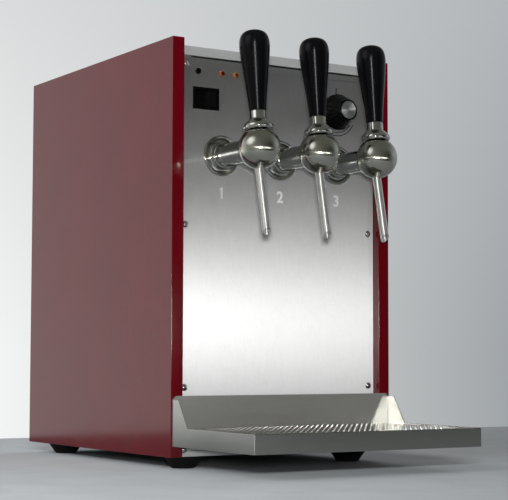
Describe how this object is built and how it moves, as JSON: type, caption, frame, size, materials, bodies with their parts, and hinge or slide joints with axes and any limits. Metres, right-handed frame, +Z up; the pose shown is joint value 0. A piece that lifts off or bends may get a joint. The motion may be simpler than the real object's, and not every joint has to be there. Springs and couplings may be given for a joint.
{
  "type": "mulled wine dispenser",
  "caption": "Countertop drinks heater: boxy sheet-metal casing, a row of ball taps with lever handles, switch, lamps and thermostat knob, perforated drip tray, rear wine inlets.",
  "frame": {"origin": "on the table under the centre of the whole footprint, drip tray and rear inlets included", "axes": "+Z up, the front with the taps and the drip tray faces -Y, +X to the right seen from the front"},
  "size_m": [0.3, 0.583, 0.4875],
  "materials": {
    "red_paint": "gloss",
    "brushed_steel": "brushed",
    "tray_steel": "brushed",
    "tank_steel": "mill",
    "heater_steel": "oxidised",
    "zinc_sheet": "galvanised",
    "screw_steel": "polished",
    "chrome": "polished",
    "aluminium": "spun",
    "copper": "plain",
    "black_rubber": "matte",
    "black_plastic": "satin",
    "handle_black": "gloss",
    "grey_plastic": "matte",
    "ivory_plastic": "matte",
    "seat_plastic": "matte",
    "red_lens": "gloss",
    "amber_lens": "gloss"
  },
  "bodies": {
    "housing": {"base_plate": "zinc_sheet", "left_side_panel": "red_paint", "right_side_panel": "red_paint", "front_panel": "brushed_steel", "back_panel": "brushed_steel", "corner_posts": "zinc_sheet", "rubber_feet": "black_rubber", "casing_screws": "screw_steel", "tray_hanger": "zinc_sheet", "switch_housing": "black_plastic", "limiter_body": "grey_plastic", "lamp_red": "red_lens", "lamp_amber": "amber_lens", "thermostat_body": "grey_plastic", "thermostat_bulb": "copper", "water_tank": "tank_steel", "tank_lid": "tank_steel", "heating_element": "heater_steel", "wine_coil_1": "tank_steel", "wine_coil_2": "tank_steel", "wine_coil_3": "tank_steel", "inlet_fittings": "screw_steel", "inlet_nuts": "screw_steel", "drain_pipe": "tank_steel", "mains_inlet": "black_plastic", "mains_pins": "screw_steel", "terminal_block": "ivory_plastic", "tap_rosettes": "chrome", "tap_lock_nuts": "chrome", "valve_seats": "seat_plastic", "tap_shank_1": "chrome", "tap_shank_2": "chrome", "tap_shank_3": "chrome", "tap_body_1": "chrome", "tap_body_2": "chrome", "tap_body_3": "chrome", "tap_cap_1": "chrome", "tap_cap_2": "chrome", "tap_cap_3": "chrome", "tap_spout_1": "chrome", "tap_spout_2": "chrome", "tap_spout_3": "chrome"},
    "tap_lever_1": {"valve_ball_1": "screw_steel", "lever_bell_1": "chrome", "tap_handle_1": "handle_black"},
    "tap_lever_2": {"valve_ball_2": "screw_steel", "lever_bell_2": "chrome", "tap_handle_2": "handle_black"},
    "tap_lever_3": {"valve_ball_3": "screw_steel", "lever_bell_3": "chrome", "tap_handle_3": "handle_black"},
    "rocker": {"power_rocker": "black_plastic"},
    "button": {"reset_button": "black_plastic"},
    "dial": {"thermostat_knob": "black_plastic", "knob_disc": "aluminium", "thermostat_shaft": "screw_steel"},
    "cover": {"top_cover": "brushed_steel"},
    "tray": {"drip_tray": "tray_steel"},
    "grille": {"drip_grille": "tray_steel"},
    "cap": {"drain_cap": "black_plastic"}
  },
  "joints": [
    {"name": "tap_1_swing", "type": "hinge", "parent": "housing", "child": "tap_lever_1", "pos_m": [-0.08, -0.1915, 0.3545], "axis": [1, 0, 0], "range_deg": [0, 30]},
    {"name": "tap_2_swing", "type": "hinge", "parent": "housing", "child": "tap_lever_2", "pos_m": [0, -0.1915, 0.3545], "axis": [1, 0, 0], "range_deg": [0, 30]},
    {"name": "tap_3_swing", "type": "hinge", "parent": "housing", "child": "tap_lever_3", "pos_m": [0.08, -0.1915, 0.3545], "axis": [1, 0, 0], "range_deg": [0, 30]},
    {"name": "power_switch", "type": "hinge", "parent": "housing", "child": "rocker", "pos_m": [-0.1012, -0.1055, 0.4184], "axis": [0, 0, 1], "range_deg": [0, 20]},
    {"name": "limiter_reset", "type": "slide", "parent": "housing", "child": "button", "axis": [0, 1, 0], "range_m": [0, 0.0015], "stiffness_N_per_m": 400},
    {"name": "thermostat_turn", "type": "hinge", "parent": "housing", "child": "dial", "pos_m": [0.0805, -0.1095, 0.4184], "axis": [0, 1, 0], "range_deg": [0, 270]},
    {"name": "cover_lift", "type": "slide", "parent": "housing", "child": "cover", "axis": [0, 0, 1], "range_m": [0, 0.06]},
    {"name": "tray_lift", "type": "slide", "parent": "housing", "child": "tray", "axis": [0, 0, 1], "range_m": [0, 0.05]},
    {"name": "grille_lift", "type": "slide", "parent": "tray", "child": "grille", "axis": [0, 0, 1], "range_m": [0, 0.06]},
    {"name": "drain_cap_pull", "type": "slide", "parent": "housing", "child": "cap", "axis": [0, 1, 0], "range_m": [0, 0.024]}
  ]
}
